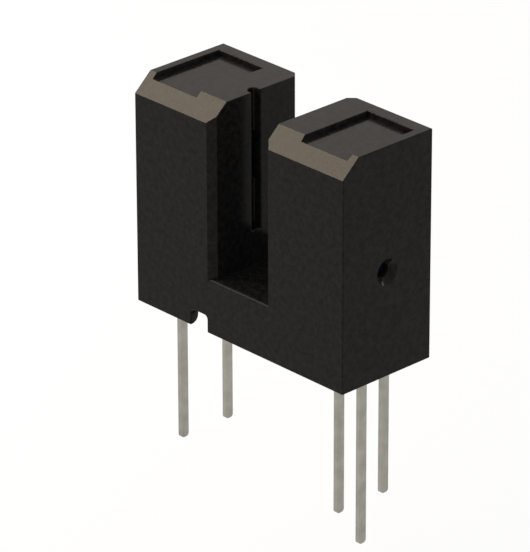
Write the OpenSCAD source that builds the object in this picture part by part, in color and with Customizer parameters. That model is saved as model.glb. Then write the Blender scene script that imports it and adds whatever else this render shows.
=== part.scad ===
// Slotted optical switch: a moulded U-shaped housing that holds an infrared emitter in its left tower
// and a photo-IC detector in its right tower, looking at each other across the slot.
// Millimetres, +Z up. The origin is the centre of the seating face that stands on the circuit board.
// X runs from the emitter to the detector, -Y is the front, and the leads hang below Z = 0.

/* [Housing] */
// Overall width across both towers
body_w = 12.2; // [11:0.1:16]
// Depth from the front face to the back face
body_d = 4.95; // [4.6:0.05:7]
// Height from the board to the tops of the towers
body_h = 10.15; // [9.5:0.05:14]
// Width of the sensing slot
slot_w = 3; // [2.4:0.1:3.8]
// Height of the slot's floor above the board
slot_floor_h = 2.45; // [1.6:0.05:3.4]
// Chamfer on the four upright edges of the slot
slot_chamfer = 0.3; // [0.1:0.05:0.5]
// Run of the chamfer on the front edge of the tower tops, front to back
top_chamfer_d = 0.87; // [0.5:0.01:1.2]
// Drop of the chamfer on the front edge of the tower tops
top_chamfer_h = 0.77; // [0.5:0.01:1]
// Outer side wall of a tower
side_wall = 0.6; // [0.45:0.05:0.8]
// Front wall and back wall of a tower
face_wall = 0.45; // [0.35:0.05:0.6]
// Wall between a tower's cavity and the slot
slot_wall = 0.7; // [0.55:0.05:0.9]
// Roof over a tower's cavity
roof_wall = 1.2; // [0.8:0.05:1.5]

/* [Top recesses] */
// Depth of the shallow marking recess in a tower's top
recess_depth = 0.22; // [0.1:0.01:0.4]
// Width of the recess, side to side
recess_w = 2.62; // [1.6:0.01:3.2]
// Rim left between the recess and the tower's outer side
recess_side_rim = 0.42; // [0.2:0.01:0.8]
// Rim left between the recess and the tower's back face
recess_back_rim = 0.62; // [0.4:0.01:1]

/* [Light path] */
// Drop of the optical axis below the tower tops
axis_drop = 2.95; // [2.6:0.05:3.2]
// Width of the emitter's light groove and of both windows
groove_w = 0.5; // [0.3:0.05:0.8]
// Depth of the emitter's light groove into the slot wall
groove_depth = 0.4; // [0.3:0.05:0.5]
// Height of the groove's lower end above the slot floor
groove_rise = 1.55; // [0.8:0.05:2.2]
// Height of a window between the slot and a cavity
window_h = 2.1; // [1.2:0.1:2.6]

/* [Locking holes and notch] */
// Bore of the round locking hole in a tower's outer side
lock_hole_d = 0.6; // [0.4:0.05:0.9]
// Flare of the locking hole's mouth, all round
lock_flare = 0.27; // [0.1:0.01:0.35]
// Height of the locking hole above the bottom of the resin package
lock_rise = 1.3; // [1:0.05:1.8]
// Height of the locking bump on the package, which snaps into the hole
lock_bump_h = 0.12; // [0.08:0.02:0.3]
// Clearance round the locking bump
lock_clear = 0.04; // [0.02:0.01:0.1]
// Width of the thumb notch low on the left tower's front wall
notch_w = 1; // [0.6:0.05:1.4]
// Height of the thumb notch
notch_h = 0.75; // [0.5:0.05:1.2]
// Radius of the thumb notch's upper corners
notch_r = 0.18; // [0.1:0.02:0.25]
// Distance from the thumb notch to the slot side of the tower
notch_inset = 0.35; // [0.2:0.05:0.6]

/* [Resin packages] */
// Height of a resin package
package_h = 5.6; // [5:0.1:6.4]
// Resin behind the lead frame, towards the tower's outer side
resin_back = 0.69; // [0.5:0.01:0.9]
// Resin in front of the lead frame, towards the slot
resin_front = 0.75; // [0.6:0.05:1]
// Clearance between a package and the walls of its cavity
package_clear = 0.03; // [0.01:0.01:0.08]
// Radius of the lens
lens_r = 1.25; // [1:0.05:1.5]
// Space between the lens and the slot wall
lens_gap = 0.35; // [0.2:0.05:0.5]

/* [Leads] */
// Width of a lead
lead_w = 0.4; // [0.3:0.02:0.5]
// Thickness of the lead frame strip
lead_t = 0.2; // [0.15:0.01:0.25]
// Radius of the corners at a lead's tip
tip_r = 0.14; // [0.05:0.01:0.14]
// Spacing of the two emitter leads, and of the outer two detector leads
lead_pitch = 2.54; // [2.4:0.02:2.8]
// Length of the short leads below the board
lead_len = 6.25; // [4:0.05:10]
// Length of the long output lead below the board
long_lead_len = 8.15; // [5:0.05:12]
// Gap between a die pad and the posts beside it
pad_gap = 0.25; // [0.2:0.01:0.3]

/* [Chips and wires] */
// Side of the emitter chip
emitter_chip_s = 0.35; // [0.25:0.01:0.5]
// Margin of the emitter's die pad round its chip
emitter_pad_margin = 0.22; // [0.15:0.01:0.28]
// Side of the detector chip
detector_chip_s = 1.1; // [0.9:0.02:1.2]
// Margin of the detector's die pad round its chip
detector_pad_margin = 0.2; // [0.15:0.01:0.25]
// Thickness of the chips
chip_t = 0.2; // [0.15:0.01:0.3]
// Distance from the edge of the detector chip to its bonds
bond_inset = 0.14; // [0.1:0.01:0.2]
// Distance from the edge of a post to the bond on it
landing_inset = 0.12; // [0.08:0.01:0.16]
// Height of the detector's output post below its die pad
post_h = 0.5; // [0.3:0.05:0.7]
// Width of the detector's output post
post_w = 0.7; // [0.5:0.05:0.9]
// Diameter of the bond wires
wire_d = 0.04; // [0.03:0.005:0.06]

/* [Hidden] */
// Facets of a round face
$fn = 64;
// Overshoot of a cut past the face it breaks through
cut = 0.5;
// Width of one tower
tower_w = (body_w - slot_w) / 2;
// Half of the depth: the front face is at minus this, the back face at plus this
half_d = body_d / 2;
// Cavity: its end towards the slot, half its depth and its roof
cavity_end = tower_w - slot_wall;
cavity_half = half_d - face_wall;
cavity_top = body_h - roof_wall;
// Package: its back, half its depth and its underside
package_back = side_wall + package_clear;
package_half = cavity_half - package_clear;
package_bottom = cavity_top - package_h;
// Lead frame: its back face and the face that carries the chips
frame_back = package_back + resin_back;
frame_face = frame_back + lead_t;
// Front of the package's block, and centre of the lens
package_front = frame_face + resin_front;
lens_centre = cavity_end - lens_gap - lens_r;
// Heights of the optical axis and of the locking hole
axis_z = body_h - axis_drop;
lock_z = package_bottom + lock_rise;
// Distance from the optical axis to the centre of an outer lead, and to its far edge
lead_y = lead_pitch / 2;
lead_edge = lead_y + lead_w / 2;
// Die pads: half their side, and where the posts beside them begin
emitter_pad = emitter_chip_s / 2 + emitter_pad_margin;
emitter_post = emitter_pad + pad_gap;
detector_pad = detector_chip_s / 2 + detector_pad_margin;
detector_post = detector_pad + pad_gap;
// Bonds on the detector chip, and landings on the posts
detector_bond = detector_chip_s / 2 - bond_inset;
emitter_landing = emitter_post + landing_inset;
detector_landing = detector_post + landing_inset;
// Face of a chip that carries its bonds
chip_face = frame_face + chip_t;

// Places a left tower's part. There X counts from the tower's outer side towards the slot.
module left_tower() {
    translate([-body_w / 2, 0, 0])
        children();
}

// Places the same part, mirrored, in the right tower.
module right_tower() {
    mirror([1, 0, 0])
        left_tower()
            children();
}

// Housing

// Side view of the housing: a block whose front top edge is chamfered.
module side_profile() {
    polygon([
        [-half_d, 0],
        [half_d, 0],
        [half_d, body_h],
        [-half_d + top_chamfer_d, body_h],
        [-half_d, body_h - top_chamfer_h]
    ]);
}

// Plan of half the slot, from its middle to the tower at +X, with both upright edges chamfered.
module half_slot_plan() {
    polygon([
        [0, -half_d - cut],
        [slot_w / 2 + slot_chamfer + cut, -half_d - cut],
        [slot_w / 2, -half_d + slot_chamfer],
        [slot_w / 2, half_d - slot_chamfer],
        [slot_w / 2 + slot_chamfer + cut, half_d + cut],
        [0, half_d + cut]
    ]);
}

// The slot, cut down to its floor.
module slot() {
    translate([0, 0, slot_floor_h])
        linear_extrude(height = body_h)
            union() {
                half_slot_plan();
                mirror([1, 0])
                    half_slot_plan();
            }
}

// Cavity of a tower, open below, for the resin package and its leads.
module cavity() {
    translate([side_wall, -cavity_half, -cut])
        cube([cavity_end - side_wall, 2 * cavity_half, cavity_top + cut]);
}

// Shallow recess in a tower's top, open at the front where it runs out through the chamfer.
module top_recess() {
    translate([recess_side_rim, -half_d - cut, body_h - recess_depth])
        cube([recess_w, body_d - recess_back_rim + cut, recess_depth + cut]);
}

// Round-bottomed groove up the slot wall to the tower's top.
module light_groove() {
    groove_bottom = slot_floor_h + groove_rise;
    translate([tower_w, 0, groove_bottom])
        linear_extrude(height = body_h)
            union() {
                translate([-groove_depth + groove_w / 2, 0])
                    circle(d = groove_w);
                translate([-groove_depth + groove_w / 2, -groove_w / 2])
                    square([groove_depth + cut, groove_w]);
            }
}

// Narrow window through the slot wall, level with the optical axis.
module light_window() {
    translate([cavity_end - cut, -groove_w / 2, axis_z - window_h / 2])
        cube([slot_wall + 2 * cut, groove_w, window_h]);
}

// Round hole through a tower's outer side, where the package's bump locks, with its mouth flared.
module lock_hole() {
    translate([-cut, 0, lock_z])
        rotate([0, 90, 0]) {
            cylinder(d = lock_hole_d, h = side_wall + 2 * cut);
            cylinder(d1 = lock_hole_d + 2 * (lock_flare + cut), d2 = lock_hole_d, h = lock_flare + cut);
        }
}

// Outline of the thumb notch, its foot on the board and its upper corners rounded.
module notch_profile() {
    translate([0, -cut])
        square([notch_w, notch_h - notch_r + cut]);
    translate([notch_r, 0])
        square([notch_w - 2 * notch_r, notch_h]);
    for (x = [notch_r, notch_w - notch_r])
        translate([x, notch_h - notch_r])
            circle(r = notch_r);
}

// Thumb notch through the front wall of the emitter's tower.
module thumb_notch() {
    translate([tower_w - notch_inset - notch_w, -cavity_half, 0])
        rotate([90, 0, 0])
            linear_extrude(height = face_wall + cut)
                notch_profile();
}

module housing() {
    color([0.13, 0.13, 0.12])
        difference() {
            translate([-body_w / 2, 0, 0])
                rotate([90, 0, 90])
                    linear_extrude(height = body_w)
                        side_profile();
            slot();
            left_tower() {
                cavity();
                top_recess();
                light_groove();
                light_window();
                lock_hole();
                thumb_notch();
            }
            right_tower() {
                cavity();
                top_recess();
                light_window();
                lock_hole();
            }
        }
}

// Lead frames. Their outlines are drawn in plan as [Y, Z], and cut from one thickness of strip.

// Gives an outline the thickness of the strip and stands it up in its tower.
module from_strip() {
    translate([frame_back, 0, 0])
        rotate([90, 0, 90])
            linear_extrude(height = lead_t)
                children();
}

// Straight lead at a place along the row, from its rounded tip to a height inside the package.
module lead_outline(y, length, top) {
    translate([y - lead_w / 2, -length + tip_r])
        square([lead_w, length - tip_r + top]);
    translate([y - lead_w / 2 + tip_r, -length])
        square([lead_w - 2 * tip_r, tip_r]);
    for (side = [-1, 1])
        translate([y + side * (lead_w / 2 - tip_r), -length + tip_r])
            circle(r = tip_r);
}

// Rectangle between two places along the row and two heights.
module block_outline(y0, y1, z0, z1) {
    translate([y0, z0])
        square([y1 - y0, z1 - z0]);
}

module emitter_anode_lead_form() {
    from_strip() {
        lead_outline(-lead_y, lead_len, axis_z);
        block_outline(-lead_edge, -emitter_post, axis_z - emitter_pad, axis_z + emitter_pad);
    }
}

module emitter_cathode_lead_form() {
    from_strip() {
        lead_outline(lead_y, lead_len, axis_z);
        block_outline(-emitter_pad, lead_edge, axis_z - emitter_pad, axis_z + emitter_pad);
    }
}

module detector_supply_lead_form() {
    from_strip() {
        lead_outline(-lead_y, lead_len, axis_z);
        block_outline(-lead_edge, -detector_post, axis_z - detector_pad, axis_z + detector_pad);
    }
}

module detector_output_lead_form() {
    post_top = axis_z - detector_post;
    from_strip() {
        lead_outline(0, long_lead_len, post_top - post_h / 2);
        block_outline(-post_w / 2, post_w / 2, post_top - post_h, post_top);
    }
}

module detector_ground_lead_form() {
    from_strip() {
        lead_outline(lead_y, lead_len, axis_z);
        block_outline(-detector_pad, lead_edge, axis_z - detector_pad, axis_z + detector_pad);
    }
}

// Chips and bond wires

// Square chip that sits on its die pad, on the optical axis.
module chip_form(side) {
    translate([frame_face, -side / 2, axis_z - side / 2])
        cube([chip_t, side, side]);
}

// Bond wire in plan: a half-round loop from the chip's face at [from, 0] over to [to, 0], then a straight
// foot down to the post, which lies one chip thickness lower.
module bond_wire_form(from, to) {
    loop_r = abs(to - from) / 2;
    translate([(from + to) / 2, 0, 0])
        rotate_extrude(angle = 180)
            translate([loop_r, 0])
                circle(d = wire_d);
    translate([to, 0, 0])
        rotate([90, 0, 0])
            cylinder(d = wire_d, h = chip_t);
}

// Stands a bond wire on the chip's face so that it runs along Y.
module wire_across(from, to) {
    translate([chip_face, 0, axis_z])
        rotate([180, 0, 90])
            bond_wire_form(from, to);
}

// Stands a bond wire on the chip's face so that it runs along Z.
module wire_upright(from, to) {
    translate([chip_face, 0, axis_z])
        rotate([0, -90, -90])
            bond_wire_form(from, to);
}

module emitter_bond_wire_form() {
    wire_across(0, -emitter_landing);
}

module detector_supply_wire_form() {
    wire_across(-detector_bond, -detector_landing);
}

module detector_output_wire_form() {
    wire_upright(-detector_bond, -detector_landing);
}

module detector_ground_wire_form() {
    wire_across(detector_bond, detector_landing);
}

// Resin packages

// Half section of the lens: a straight barrel that ends in a dome, standing on the lead frame's face.
module lens_profile() {
    barrel = lens_centre - frame_face;
    intersection() {
        union() {
            square([lens_r, barrel]);
            translate([0, barrel])
                circle(r = lens_r);
        }
        square([lens_r, barrel + lens_r]);
    }
}

// Resin block with its lens towards the slot and its locking bump towards the tower's outer side.
module package_form() {
    translate([package_back, -package_half, package_bottom])
        cube([package_front - package_back, 2 * package_half, package_h]);
    translate([frame_face, 0, axis_z])
        rotate([0, 90, 0])
            rotate_extrude()
                lens_profile();
    translate([package_back - lock_bump_h, 0, lock_z])
        rotate([0, 90, 0])
            cylinder(d = lock_hole_d - 2 * lock_clear, h = lock_bump_h + resin_back / 2);
}

module emitter_package() {
    color([0.55, 0.62, 0.78])
        left_tower()
            difference() {
                package_form();
                emitter_anode_lead_form();
                emitter_cathode_lead_form();
                chip_form(emitter_chip_s);
                emitter_bond_wire_form();
            }
}

module detector_package() {
    color([0.1, 0.1, 0.2])
        right_tower()
            difference() {
                package_form();
                detector_supply_lead_form();
                detector_output_lead_form();
                detector_ground_lead_form();
                chip_form(detector_chip_s);
                detector_supply_wire_form();
                detector_output_wire_form();
                detector_ground_wire_form();
            }
}

module emitter_anode_lead() {
    color([0.7, 0.7, 0.67])
        left_tower()
            emitter_anode_lead_form();
}

module emitter_cathode_lead() {
    color([0.66, 0.66, 0.64])
        left_tower()
            emitter_cathode_lead_form();
}

module emitter_chip() {
    color([0.35, 0.3, 0.34])
        left_tower()
            chip_form(emitter_chip_s);
}

module emitter_bond_wire() {
    color([0.85, 0.68, 0.3])
        left_tower()
            emitter_bond_wire_form();
}

module detector_supply_lead() {
    color([0.7, 0.7, 0.67])
        right_tower()
            detector_supply_lead_form();
}

module detector_output_lead() {
    color([0.66, 0.66, 0.64])
        right_tower()
            detector_output_lead_form();
}

module detector_ground_lead() {
    color([0.74, 0.74, 0.71])
        right_tower()
            detector_ground_lead_form();
}

module detector_chip() {
    color([0.3, 0.34, 0.4])
        right_tower()
            chip_form(detector_chip_s);
}

module detector_supply_wire() {
    color([0.85, 0.68, 0.3])
        right_tower()
            detector_supply_wire_form();
}

module detector_output_wire() {
    color([0.8, 0.63, 0.26])
        right_tower()
            detector_output_wire_form();
}

module detector_ground_wire() {
    color([0.88, 0.72, 0.35])
        right_tower()
            detector_ground_wire_form();
}

housing();
emitter_package();
emitter_anode_lead();
emitter_cathode_lead();
emitter_chip();
emitter_bond_wire();
detector_package();
detector_supply_lead();
detector_output_lead();
detector_ground_lead();
detector_chip();
detector_supply_wire();
detector_output_wire();
detector_ground_wire();
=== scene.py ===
"""Looks of a slotted optical switch: a black moulded U on flat plated leads, shown in plain studio light.

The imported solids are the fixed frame. The housing's edges are rounded on a copy of its solid, as moulding and
use leave them, and each piece is dressed in a finish that is worked out from its real material.
"""

import logging
import math
from dataclasses import dataclass
from enum import Enum
from typing import Any

import bmesh
import bpy
from mathutils import Matrix, Vector


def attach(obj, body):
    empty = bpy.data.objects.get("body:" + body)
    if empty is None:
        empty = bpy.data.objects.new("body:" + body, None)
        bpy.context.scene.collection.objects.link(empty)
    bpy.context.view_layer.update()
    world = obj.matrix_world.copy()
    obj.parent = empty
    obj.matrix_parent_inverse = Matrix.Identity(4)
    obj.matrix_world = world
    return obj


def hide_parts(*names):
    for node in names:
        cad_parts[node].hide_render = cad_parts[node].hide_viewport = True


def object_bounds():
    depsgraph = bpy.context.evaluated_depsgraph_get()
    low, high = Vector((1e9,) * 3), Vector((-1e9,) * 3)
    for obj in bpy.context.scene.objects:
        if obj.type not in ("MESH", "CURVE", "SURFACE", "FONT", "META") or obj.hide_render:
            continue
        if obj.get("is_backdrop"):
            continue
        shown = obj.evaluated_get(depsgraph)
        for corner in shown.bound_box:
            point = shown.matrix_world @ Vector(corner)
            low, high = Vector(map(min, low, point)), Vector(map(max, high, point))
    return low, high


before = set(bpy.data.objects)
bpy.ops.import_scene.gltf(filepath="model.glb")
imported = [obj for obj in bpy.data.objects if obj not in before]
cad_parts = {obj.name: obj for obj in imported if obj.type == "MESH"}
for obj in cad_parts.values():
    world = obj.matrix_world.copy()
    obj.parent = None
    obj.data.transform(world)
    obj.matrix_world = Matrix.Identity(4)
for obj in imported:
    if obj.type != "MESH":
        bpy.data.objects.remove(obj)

LOG = logging.getLogger("optical_switch")
MM = 0.001
ROOT_BODY = "root"
# Blender's noise lies between these two almost everywhere
NOISE_LOW, NOISE_HIGH = 0.3, 0.7


def linear(hex_colour: str) -> tuple[float, float, float, float]:
    """Turn an sRGB hex colour into linear RGBA.

    Args:
        hex_colour: Colour as "#rrggbb".

    Returns:
        Linear red, green, blue, and an alpha of 1.
    """
    channels = [int(hex_colour[i : i + 2], 16) / 255 for i in (1, 3, 5)]
    # The sRGB standard's own curve
    red, green, blue = (c / 12.92 if c <= 0.04045 else ((c + 0.055) / 1.055) ** 2.4 for c in channels)
    return red, green, blue, 1.0


def bare_tree(owner: bpy.types.Material | bpy.types.World) -> bpy.types.NodeTree:
    """Give a material or a world an empty node tree.

    Args:
        owner: The material or the world.

    Returns:
        Its node tree, with no nodes in it.
    """
    owner.use_nodes = True
    owner.node_tree.nodes.clear()
    return owner.node_tree


def add_node(
    tree: bpy.types.NodeTree, kind: str, inputs: dict[str | int, Any] | None = None, **settings: Any
) -> bpy.types.Node:
    """Add a shader node with its settings and links.

    Args:
        tree: Node tree that takes the node.
        kind: Blender's type name of the node.
        inputs: Values or other nodes' output sockets, by the name or place of the input socket.
        **settings: Attributes to set on the node before its inputs.

    Returns:
        The new node.
    """
    node = tree.nodes.new(kind)
    for name, value in settings.items():
        setattr(node, name, value)
    for name, value in (inputs or {}).items():
        if isinstance(value, bpy.types.NodeSocket):
            tree.links.new(value, node.inputs[name])
        else:
            node.inputs[name].default_value = value
    return node


def add_object(name: str, data: bpy.types.ID) -> bpy.types.Object:
    """Add an object to the scene.

    Args:
        name: Plain name of the object.
        data: Its mesh, lamp or lens.

    Returns:
        The new object.
    """
    added = bpy.data.objects.new(name, data)
    bpy.context.scene.collection.objects.link(added)
    return added


def dress(piece: bpy.types.Object, *finishes: bpy.types.Material) -> None:
    """Put finishes in a piece's material slots.

    Args:
        piece: The piece to dress.
        *finishes: Its materials in the order of their places.
    """
    for place, finish in enumerate(finishes):
        if place == len(piece.material_slots):
            piece.data.materials.append(finish)
        piece.material_slots[place].material = finish
    LOG.info("%s wears %s", piece.name, " and ".join(finish.name for finish in finishes))


class Stretch(Enum):
    """Direction in which a pattern is drawn out, as the factors on X, Y and Z of its coordinates."""

    NONE = (1.0, 1.0, 1.0)
    ALONG_LEAD = (1.0, 1.0, 0.06)


@dataclass(frozen=True)
class Pattern:
    """A soft random pattern whose grain has a real size.

    Attributes:
        grain_mm: Size of one grain in millimetres.
        detail: Octaves of finer grain inside it.
        fineness: How strong each finer octave is beside the one before.
        stretch: Direction in which the grain is drawn out.
    """

    grain_mm: float
    detail: float = 2.0
    fineness: float = 0.5
    stretch: Stretch = Stretch.NONE

    def value(self, tree: bpy.types.NodeTree) -> bpy.types.NodeSocket:
        """Draw the pattern in the object's own coordinates.

        Args:
            tree: Node tree of the material.

        Returns:
            Output socket with a value mostly between NOISE_LOW and NOISE_HIGH.
        """
        place = add_node(tree, "ShaderNodeTexCoord").outputs["Object"]
        drawn_out = add_node(tree, "ShaderNodeMapping", {"Vector": place, "Scale": self.stretch.value})
        grain = {"Scale": 1 / (self.grain_mm * MM), "Detail": self.detail, "Roughness": self.fineness}
        noise = add_node(tree, "ShaderNodeTexNoise", {"Vector": drawn_out.outputs["Vector"], **grain})
        return noise.outputs["Fac"]

    def spread(self, tree: bpy.types.NodeTree, low: float, high: float) -> bpy.types.NodeSocket:
        """Spread the pattern over a range of values.

        Args:
            tree: Node tree of the material.
            low: Value where the pattern is weak.
            high: Value where the pattern is strong.

        Returns:
            Output socket with values from low to high.
        """
        noise = {"Value": self.value(tree), "From Min": NOISE_LOW, "From Max": NOISE_HIGH}
        ranged = add_node(tree, "ShaderNodeMapRange", {**noise, "To Min": low, "To Max": high})
        return ranged.outputs["Result"]

    def tint(self, tree: bpy.types.NodeTree, dark: str, light: str) -> bpy.types.NodeSocket:
        """Shade a colour with the pattern.

        Args:
            tree: Node tree of the material.
            dark: Hex colour where the pattern is weak.
            light: Hex colour where the pattern is strong.

        Returns:
            Output socket with the colour.
        """
        mixed = add_node(
            tree,
            "ShaderNodeMix",
            {"Factor": self.spread(tree, 0.0, 1.0), "A": linear(dark), "B": linear(light)},
            data_type="RGBA",
        )
        return mixed.outputs["Result"]

    def bump(self, tree: bpy.types.NodeTree, height_mm: float, strength: float) -> bpy.types.NodeSocket:
        """Raise the pattern from the surface.

        Args:
            tree: Node tree of the material.
            height_mm: Height of the grains in millimetres.
            strength: How much of the relief shows, from 0 to 1.

        Returns:
            Output socket with the changed normal.
        """
        relief = add_node(
            tree,
            "ShaderNodeBump",
            {"Strength": strength, "Distance": height_mm * MM, "Height": self.value(tree)},
        )
        return relief.outputs["Normal"]


@dataclass(frozen=True)
class Finish:
    """What every finish has: the base of a real material and of how its surface was made.

    Attributes:
        name: Name of the material.
        ior: Index of refraction; a metal keeps the shader's own.
        metallic: 0 for a plastic or a resin and 1 for a metal; a die lies between.
    """

    name: str
    ior: float = 1.5
    metallic: float = 0.0

    def material(self) -> bpy.types.Material:
        """Make the material.

        Returns:
            A new material with this finish.
        """
        made = bpy.data.materials.new(self.name)
        tree = bare_tree(made)
        base = {"IOR": self.ior, "Metallic": self.metallic}
        shader = add_node(tree, "ShaderNodeBsdfPrincipled", {**base, **self.surface(tree)})
        add_node(tree, "ShaderNodeOutputMaterial", {"Surface": shader.outputs["BSDF"]})
        return made

    def surface(self, tree: bpy.types.NodeTree) -> dict[str, Any]:
        """Work out the surface; each finish has its own way.

        Args:
            tree: Node tree of the material.

        Returns:
            Values and output sockets, by the name of the shader's socket.
        """
        raise NotImplementedError


@dataclass(frozen=True)
class MouldedPbt(Finish):
    """Black glass-filled PBT, injection moulded in a spark-eroded tool.

    The eye sees a deep, slightly warm black that stays dark face on and greys over at a low angle, with an
    even fine grit, and paler flecks where the glass fibres lie near the surface.

    Attributes:
        dark: Hex colour of the plastic.
        light: Hex colour of the flecks.
        sheen: Level of the mirrored light.
        sheen_tint: Hex colour of the mirrored light.
        smooth: Roughness where the grit is weak.
        rough: Roughness where the grit is strong.
        grit: Grain that the tool leaves.
        grit_mm: Height of that grain in millimetres.
        grit_shown: How much of its relief shows, from 0 to 1.
        fleck: Spread of the glass fibres.
    """

    name: str = "moulded_black_pbt"
    ior: float = 1.57
    dark: str = "#111010"
    light: str = "#272524"
    sheen: float = 0.062
    sheen_tint: str = "#fff9ef"
    smooth: float = 0.11
    rough: float = 0.17
    # Spark-eroded grit is about 0.02 mm; it is drawn coarser here so that it shows in the render
    grit: Pattern = Pattern(grain_mm=0.09, detail=3.0)
    grit_mm: float = 0.004
    grit_shown: float = 0.25
    # Chopped glass fibres are about 0.25 mm long
    fleck: Pattern = Pattern(grain_mm=0.25, detail=2.0, fineness=0.7)

    def surface(self, tree: bpy.types.NodeTree) -> dict[str, Any]:
        """Work out the black's flecks, its uneven gloss and its grit.

        Args:
            tree: Node tree of the material.

        Returns:
            Values and output sockets, by the name of the shader's socket.
        """
        return {
            "Base Color": self.fleck.tint(tree, self.dark, self.light),
            "Roughness": self.grit.spread(tree, self.smooth, self.rough),
            "Specular IOR Level": self.sheen,
            "Specular Tint": linear(self.sheen_tint),
            "Normal": self.grit.bump(tree, self.grit_mm, self.grit_shown),
        }


@dataclass(frozen=True)
class MouldedEpoxy(Finish):
    """Transfer-moulded optical epoxy, clear for the emitter and dark with infrared dye for the detector.

    The eye sees a smooth glassy resin with faint flow streaks, and through the clear one the lead frame.

    Attributes:
        dark: Hex colour of the resin.
        light: Hex colour of its streaks.
        clearness: Share of the light that passes, from 0 to 1.
        smooth: Roughness between the streaks.
        rough: Roughness of the streaks.
        flow: Flow streaks.
    """

    name: str = "moulded_epoxy"
    ior: float = 1.54
    dark: str = "#8fa0c8"
    light: str = "#a8b7d8"
    clearness: float = 0.9
    smooth: float = 0.06
    rough: float = 0.14
    # Flow streaks are a little under a millimetre wide
    flow: Pattern = Pattern(grain_mm=0.7, detail=3.0)

    def surface(self, tree: bpy.types.NodeTree) -> dict[str, Any]:
        """Work out the resin's dye, its clearness and its flow streaks.

        Args:
            tree: Node tree of the material.

        Returns:
            Values and output sockets, by the name of the shader's socket.
        """
        return {
            "Base Color": self.flow.tint(tree, self.dark, self.light),
            "Roughness": self.flow.spread(tree, self.smooth, self.rough),
            "Transmission Weight": self.clearness,
        }


@dataclass(frozen=True)
class SolderPlating(Finish):
    """Solder-plated copper alloy strip, rolled, stamped and dipped.

    The eye sees a soft grey metal, a little warm, with faint lines along the strip and dull patches.

    Attributes:
        dark: Hex colour where the dulling pattern is weak.
        light: Hex colour where it is strong.
        smooth: Roughness where it is weak.
        rough: Roughness where it is strong.
        rolling: Lines that rolling leaves along the strip.
        rolling_mm: Height of those lines in millimetres.
        rolling_shown: How much of their relief shows, from 0 to 1.
        dulling: Spread of the dull patches.
    """

    name: str = "solder_plated_strip"
    metallic: float = 1.0
    dark: str = "#908d84"
    light: str = "#a5a298"
    smooth: float = 0.26
    rough: float = 0.36
    # Rolling lines are about 0.02 mm wide; they are drawn coarser here so that they show in the render
    rolling: Pattern = Pattern(grain_mm=0.05, detail=2.0, stretch=Stretch.ALONG_LEAD)
    rolling_mm: float = 0.003
    rolling_shown: float = 0.4
    # Dull patches are about as wide as a lead
    dulling: Pattern = Pattern(grain_mm=0.6, detail=3.0)

    def surface(self, tree: bpy.types.NodeTree) -> dict[str, Any]:
        """Work out the metal's grey, its dull patches and its rolling lines.

        Args:
            tree: Node tree of the material.

        Returns:
            Values and output sockets, by the name of the shader's socket.
        """
        return {
            "Base Color": self.dulling.tint(tree, self.dark, self.light),
            "Roughness": self.dulling.spread(tree, self.smooth, self.rough),
            "Normal": self.rolling.bump(tree, self.rolling_mm, self.rolling_shown),
        }


@dataclass(frozen=True)
class PolishedDie(Finish):
    """Sawn semiconductor die with a polished, oxide-coated face.

    The eye sees a dark blue-grey mirror with faint blocks of circuitry.

    Attributes:
        dark: Hex colour of the bare face.
        light: Hex colour of the blocks.
        roughness: Roughness of the polish.
        circuit: Blocks of circuitry.
    """

    name: str = "polished_die"
    ior: float = 1.9
    metallic: float = 0.4
    dark: str = "#2a2f3a"
    light: str = "#56506a"
    roughness: float = 0.16
    # Blocks of circuitry are about 0.1 mm across
    circuit: Pattern = Pattern(grain_mm=0.12, detail=1.0)

    def surface(self, tree: bpy.types.NodeTree) -> dict[str, Any]:
        """Work out the die's blocks and its polish.

        Args:
            tree: Node tree of the material.

        Returns:
            Values and output sockets, by the name of the shader's socket.
        """
        return {
            "Base Color": self.circuit.tint(tree, self.dark, self.light),
            "Roughness": self.roughness,
        }


@dataclass(frozen=True)
class DrawnGold(Finish):
    """Fine drawn gold wire.

    The eye sees a bright warm thread with faint marks of the drawing die.

    Attributes:
        dark: Hex colour of the marks.
        light: Hex colour of the gold.
        roughness: Roughness of the wire.
        drawing: Marks of the drawing die.
    """

    name: str = "drawn_gold"
    metallic: float = 1.0
    dark: str = "#d9a441"
    light: str = "#f0c766"
    roughness: float = 0.22
    # Drawing marks are about 0.002 mm wide; they are drawn coarser here so that they can show
    drawing: Pattern = Pattern(grain_mm=0.05, detail=1.0)

    def surface(self, tree: bpy.types.NodeTree) -> dict[str, Any]:
        """Work out the gold's colour and its drawing marks.

        Args:
            tree: Node tree of the material.

        Returns:
            Values and output sockets, by the name of the shader's socket.
        """
        return {
            "Base Color": self.drawing.tint(tree, self.dark, self.light),
            "Roughness": self.roughness,
        }


class HousingFinish(Enum):
    """Finishes of the housing, by their place in its material slots."""

    PLASTIC = 0
    DULLED = 1


class Beside(Enum):
    """A face beside an edge, as the sign that brings it first in the order from upright to level."""

    UPRIGHT = 1
    LEVEL = -1


@dataclass(frozen=True)
class EdgeBreak:
    """Radius that moulding or use leaves on square edges.

    Attributes:
        radius_mm: Radius of the broken edge in millimetres.
        segments: Facets across the radius.
        profile: Form across the edge; 0.5 is a quarter of a circle.
    """

    radius_mm: float
    segments: int
    profile: float = 0.5

    def round_off(
        self,
        work: bmesh.types.BMesh,
        edges: list[bmesh.types.BMEdge],
        finish: HousingFinish = HousingFinish.PLASTIC,
    ) -> None:
        """Round some edges of the housing.

        Args:
            work: Mesh of the housing.
            edges: Edges to round.
            finish: Finish of the rounds.
        """
        bmesh.ops.bevel(
            work,
            geom=edges,
            offset=self.radius_mm * MM,
            segments=self.segments,
            profile=self.profile,
            affect="EDGES",
            clamp_overlap=False,
            material=finish.value,
        )


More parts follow.
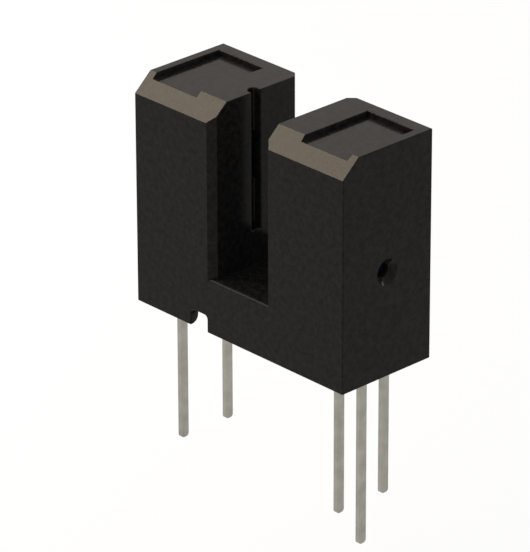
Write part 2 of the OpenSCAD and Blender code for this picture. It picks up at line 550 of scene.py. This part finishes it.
@dataclass
class Housing:
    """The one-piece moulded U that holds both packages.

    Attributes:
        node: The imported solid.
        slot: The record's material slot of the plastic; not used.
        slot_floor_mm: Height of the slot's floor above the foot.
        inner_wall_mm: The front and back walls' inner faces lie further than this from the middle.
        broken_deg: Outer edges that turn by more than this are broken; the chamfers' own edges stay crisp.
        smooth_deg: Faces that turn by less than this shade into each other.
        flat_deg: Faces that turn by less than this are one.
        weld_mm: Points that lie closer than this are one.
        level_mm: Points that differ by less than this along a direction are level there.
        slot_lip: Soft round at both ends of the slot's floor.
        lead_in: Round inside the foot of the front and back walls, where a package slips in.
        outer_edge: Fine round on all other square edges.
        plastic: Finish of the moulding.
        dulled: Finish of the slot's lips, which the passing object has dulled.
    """

    node: str = "housing"
    slot: str = "housing_plastic"
    slot_floor_mm: float = 2.45
    inner_wall_mm: float = 1.0
    broken_deg: float = 60.0
    smooth_deg: float = 25.0
    flat_deg: float = 0.5
    weld_mm: float = 0.0005
    level_mm: float = 0.001
    slot_lip: EdgeBreak = EdgeBreak(radius_mm=0.16, segments=8)
    lead_in: EdgeBreak = EdgeBreak(radius_mm=0.36, segments=8)
    outer_edge: EdgeBreak = EdgeBreak(radius_mm=0.04, segments=4)
    plastic: Finish = MouldedPbt()
    dulled: Finish = MouldedPbt(
        name="dulled_black_pbt", sheen=0.08, sheen_tint="#f4faff", smooth=0.35, rough=0.45
    )

    def square_edges(self, work: bmesh.types.BMesh) -> list[bmesh.types.BMEdge]:
        """Find the square outer edges.

        Args:
            work: Mesh of the housing.

        Returns:
            Edges that stand proud and turn sharply.
        """
        turn = math.radians(self.broken_deg)
        return [e for e in work.edges if e.is_convex and e.calc_face_angle() > turn]

    def edges_at(self, work: bmesh.types.BMesh, height_mm: float) -> list[bmesh.types.BMEdge]:
        """Find the square outer edges at a height.

        Args:
            work: Mesh of the housing.
            height_mm: Height above the foot in millimetres.

        Returns:
            Square edges with both ends at that height.
        """
        height = min(vert.co.z for vert in work.verts) + height_mm * MM
        square = self.square_edges(work)
        return [e for e in square if all(abs(v.co.z - height) < self.level_mm * MM for v in e.verts)]

    def lead_in_edges(self, work: bmesh.types.BMesh) -> list[bmesh.types.BMEdge]:
        """Find the inner edges at the foot of the front and back walls.

        Args:
            work: Mesh of the housing.

        Returns:
            Square edges at the foot, each below a wall that looks at the middle.
        """
        inward = -self.inner_wall_mm * MM
        foot = self.edges_at(work, 0.0)
        return [e for e in foot if any(f.normal.y * e.verts[0].co.y < inward for f in e.link_faces)]

    def split_beside(self, work: bmesh.types.BMesh, edges: list[bmesh.types.BMEdge], side: Beside) -> None:
        """Split a face at the ends of each edge, so that a round on the edge has edges to run along.

        Args:
            work: Mesh of the housing.
            edges: Edges that run from side to side.
            side: Which of the two faces beside an edge is split.
        """
        near, across = self.level_mm * MM, (1, 0, 0)
        for edge in edges:
            for end in edge.verts:
                face = min(edge.link_faces, key=lambda beside: side.value * abs(beside.normal.z))
                around = [face, *face.edges, *face.verts]
                bmesh.ops.bisect_plane(work, geom=around, dist=near, plane_co=end.co, plane_no=across)

    def shell(self) -> bpy.types.Mesh:
        """Copy the solid's mesh and break its edges.

        Returns:
            The mesh with its broken edges.
        """
        work = bmesh.new()
        work.from_mesh(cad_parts[self.node].data)
        bmesh.ops.remove_doubles(work, verts=work.verts, dist=self.weld_mm * MM)
        flat = math.radians(self.flat_deg)
        bmesh.ops.dissolve_limit(work, angle_limit=flat, verts=work.verts, edges=work.edges)
        lips = self.edges_at(work, self.slot_floor_mm)
        self.split_beside(work, lips, Beside.UPRIGHT)
        self.slot_lip.round_off(work, lips, HousingFinish.DULLED)
        lead_ins = self.lead_in_edges(work)
        self.split_beside(work, lead_ins, Beside.LEVEL)
        self.lead_in.round_off(work, lead_ins)
        self.outer_edge.round_off(work, self.square_edges(work))
        bmesh.ops.dissolve_degenerate(work, dist=self.weld_mm * MM, edges=work.edges)
        mesh = bpy.data.meshes.new("housing_moulding")
        work.to_mesh(mesh)
        work.free()
        # The solid's stored normals no longer fit the broken edges
        mesh.attributes.remove(mesh.attributes["custom_normal"])
        mesh.shade_smooth()
        mesh.set_sharp_from_angle(angle=math.radians(self.smooth_deg))
        return mesh

    def build(self) -> None:
        """Break the moulding's edges, dress it and let it stand for its solid."""
        piece = add_object("housing_piece", self.shell())
        flat_faces = piece.modifiers.new("flat_faces", "WEIGHTED_NORMAL")
        flat_faces.keep_sharp = True
        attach(piece, ROOT_BODY)
        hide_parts(self.node)
        dress(piece, self.plastic.material(), self.dulled.material())


@dataclass
class Element:
    """An emitter or a detector: a resin package on its lead frame, with a chip and bond wires inside.

    Attributes:
        package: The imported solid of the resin.
        resin: Finish of the package.
        leads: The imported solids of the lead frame.
        chip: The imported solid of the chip.
        wires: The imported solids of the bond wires.
        plating: Finish of the leads.
        die: Finish of the chip.
        gold: Finish of the wires.
    """

    package: str
    resin: Finish
    leads: tuple[str, ...]
    chip: str
    wires: tuple[str, ...]
    plating: Finish = SolderPlating()
    die: Finish = PolishedDie()
    gold: Finish = DrawnGold()

    def build(self) -> None:
        """Dress the package, its leads, its chip and its wires."""
        dress(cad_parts[self.package], self.resin.material())
        plating = self.plating.material()
        for lead in self.leads:
            dress(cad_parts[lead], plating)
        dress(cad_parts[self.chip], self.die.material())
        gold = self.gold.material()
        for wire in self.wires:
            dress(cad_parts[wire], gold)


@dataclass(frozen=True)
class Softbox:
    """A square studio lamp that looks at the part.

    Attributes:
        name: Plain name of the lamp.
        towards: Direction from the part to the lamp.
        distance_mm: Distance from the part.
        side_mm: Side of the lamp's square.
        watts: Power of the lamp.
        colour: Hex colour of its light.
    """

    name: str
    towards: tuple[float, float, float]
    distance_mm: float
    side_mm: float
    watts: float
    colour: str = "#ffffff"

    def build(self, centre: Vector) -> None:
        """Hang the lamp.

        Args:
            centre: Point that the lamp looks at.
        """
        lamp = bpy.data.lights.new(self.name, "AREA")
        lamp.size = self.side_mm * MM
        lamp.energy = self.watts
        lamp.color = linear(self.colour)[:3]
        hung = add_object(self.name, lamp)
        away = Vector(self.towards).normalized()
        hung.location = centre + away * self.distance_mm * MM
        hung.rotation_euler = away.to_track_quat("Z", "Y").to_euler()
        LOG.info("lamp %s hangs %.0f mm from the part", self.name, self.distance_mm)


@dataclass(frozen=True)
class PhotoCamera:
    """The photograph's camera, found by fitting the part's own corners to the picture.

    Attributes:
        azimuth_deg: Angle to the right of the front.
        elevation_deg: Angle above the board.
        roll_deg: Turn about the line of sight.
        distance_mm: Distance to the point it looks at.
        nearest_mm: Distance from which on it sees.
        focal_px: Focal length in pixels of the frame.
        aim_mm: Point that it looks at.
        frame_px: Longer side of the frame in pixels.
        sensor_mm: Sensor size along that side.
    """

    azimuth_deg: float = 46.667
    elevation_deg: float = 25.374
    roll_deg: float = -0.179
    distance_mm: float = 200.44
    nearest_mm: float = 10.0
    focal_px: float = 4882.0
    aim_mm: tuple[float, float, float] = (-1.007, 0.0, 2.044)
    frame_px: float = 552.0
    sensor_mm: float = 36.0

    def build(self) -> None:
        """Place the camera and make it the scene's own."""
        azimuth, elevation = math.radians(self.azimuth_deg), math.radians(self.elevation_deg)
        back = Vector(
            (
                math.sin(azimuth) * math.cos(elevation),
                -math.cos(azimuth) * math.cos(elevation),
                math.sin(elevation),
            )
        )
        right = Vector((0, 0, 1)).cross(back).normalized()
        up = back.cross(right)
        upright = Matrix((right, up, back)).transposed().to_4x4()
        lens = bpy.data.cameras.new("photo_camera")
        lens.sensor_width = self.sensor_mm
        lens.lens = self.focal_px / self.frame_px * self.sensor_mm
        lens.clip_start = self.nearest_mm * MM
        camera = add_object("photo_camera", lens)
        place = Matrix.Translation(Vector(self.aim_mm) * MM + back * self.distance_mm * MM)
        camera.matrix_world = place @ upright @ Matrix.Rotation(math.radians(self.roll_deg), 4, "Z")
        bpy.context.scene.camera = camera
        LOG.info("camera stands %.0f mm from the part", self.distance_mm)


@dataclass
class Studio:
    """Pale floor, even white surroundings and soft lamps round the part.

    Attributes:
        floor_drop_mm: Distance of the floor below the part's lowest point.
        floor_side_mm: Side of the floor's square.
        floor_colour: Hex colour of the floor.
        floor_glow: Strength of the floor's own light where it is seen.
        surround_colour: Hex colour of the surroundings.
        surround_seen: Strength of the surroundings where they are seen; 1 is white.
        surround_light: Strength of the surroundings as they light the part.
        lamps: The soft lamps.
        camera: The photograph's camera.
    """

    floor_drop_mm: float = 10.0
    floor_side_mm: float = 4000.0
    floor_colour: str = "#c4c6ca"
    floor_glow: float = 0.55
    surround_colour: str = "#ffffff"
    surround_seen: float = 1.0
    surround_light: float = 0.55
    lamps: tuple[Softbox, ...] = (
        Softbox(
            name="key_softbox",
            towards=(-0.66, -0.35, 0.67),
            distance_mm=250,
            side_mm=70,
            watts=0.24,
            colour="#fff1dd",
        ),
        Softbox(
            name="warm_panel",
            towards=(-0.66, 0.62, 0.43),
            distance_mm=300,
            side_mm=160,
            watts=0.014,
            colour="#ffc359",
        ),
        Softbox(
            name="low_back_softbox",
            towards=(0.16, 0.93, 0.33),
            distance_mm=300,
            side_mm=60,
            watts=0.034,
        ),
    )
    camera: PhotoCamera = PhotoCamera()

    @staticmethod
    def seen_as_background(tree: bpy.types.NodeTree) -> bpy.types.NodeSocket:
        """Tell rays that see the background from rays that light the part.

        Args:
            tree: Node tree of the floor or the world.

        Returns:
            Output socket that is 1 for camera, glossy and transmission rays, and 0 for others.
        """
        path = add_node(tree, "ShaderNodeLightPath").outputs
        gloss = add_node(
            tree, "ShaderNodeMath", {0: path["Is Camera Ray"], 1: path["Is Glossy Ray"]}, operation="MAXIMUM"
        )
        seen = add_node(
            tree, "ShaderNodeMath", {0: gloss.outputs[0], 1: path["Is Transmission Ray"]}, operation="MAXIMUM"
        )
        return seen.outputs[0]

    def build_world(self) -> None:
        """Surround the part with white that it sees at full strength and is lit by at a plain level."""
        world = bpy.data.worlds.new("white_surround")
        tree = bare_tree(world)
        levels = {"To Min": self.surround_light, "To Max": self.surround_seen}
        strength = add_node(tree, "ShaderNodeMapRange", {"Value": self.seen_as_background(tree), **levels})
        surround = add_node(
            tree,
            "ShaderNodeBackground",
            {"Color": linear(self.surround_colour), "Strength": strength.outputs["Result"]},
        )
        add_node(tree, "ShaderNodeOutputWorld", {"Surface": surround.outputs["Background"]})
        bpy.context.scene.world = world

    def build_floor(self, lowest: float) -> None:
        """Lay the pale floor, which glows a little where it is seen and still takes the part's shadow.

        Args:
            lowest: Height of the part's lowest point in metres.
        """
        half = self.floor_side_mm * MM / 2
        height = lowest - self.floor_drop_mm * MM
        corners = [(x * half, y * half, height) for x, y in ((-1, -1), (1, -1), (1, 1), (-1, 1))]
        mesh = bpy.data.meshes.new("pale_floor")
        mesh.from_pydata(corners, [], [(0, 1, 2, 3)])
        floor = add_object("pale_floor", mesh)
        paper = bpy.data.materials.new("pale_paper")
        tree = bare_tree(paper)
        levels = {"To Min": 0.0, "To Max": self.floor_glow}
        glow = add_node(tree, "ShaderNodeMapRange", {"Value": self.seen_as_background(tree), **levels})
        lit = add_node(tree, "ShaderNodeBsdfDiffuse", {"Color": linear(self.floor_colour)})
        shine = add_node(tree, "ShaderNodeEmission", {"Strength": glow.outputs["Result"]})
        both = add_node(tree, "ShaderNodeAddShader", {0: lit.outputs[0], 1: shine.outputs[0]})
        add_node(tree, "ShaderNodeOutputMaterial", {"Surface": both.outputs[0]})
        dress(floor, paper)
        floor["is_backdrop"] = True

    def build(self, box: tuple[Vector, Vector]) -> None:
        """Set up the whole studio.

        Args:
            box: Lowest and highest corners of the part in metres.
        """
        low, high = box
        self.build_world()
        self.build_floor(low.z)
        for lamp in self.lamps:
            lamp.build((low + high) / 2)
        self.camera.build()
        bpy.context.scene.view_settings.view_transform = "Standard"


def main() -> None:
    """Build the sub-assemblies and the studio in order; the studio is set round the part's size as imported."""
    logging.basicConfig(level=logging.INFO, format="%(message)s")
    solid_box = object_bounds()
    Housing().build()
    Element(
        package="emitter_package",
        resin=MouldedEpoxy(name="clear_moulded_epoxy"),
        leads=("emitter_anode_lead", "emitter_cathode_lead"),
        chip="emitter_chip",
        wires=("emitter_bond_wire",),
    ).build()
    Element(
        package="detector_package",
        resin=MouldedEpoxy(name="dyed_moulded_epoxy", dark="#0e1020", light="#181b30", clearness=0.2),
        leads=("detector_supply_lead", "detector_output_lead", "detector_ground_lead"),
        chip="detector_chip",
        wires=("detector_supply_wire", "detector_output_wire", "detector_ground_wire"),
    ).build()
    Studio().build(solid_box)


if __name__ == "__main__":
    main()
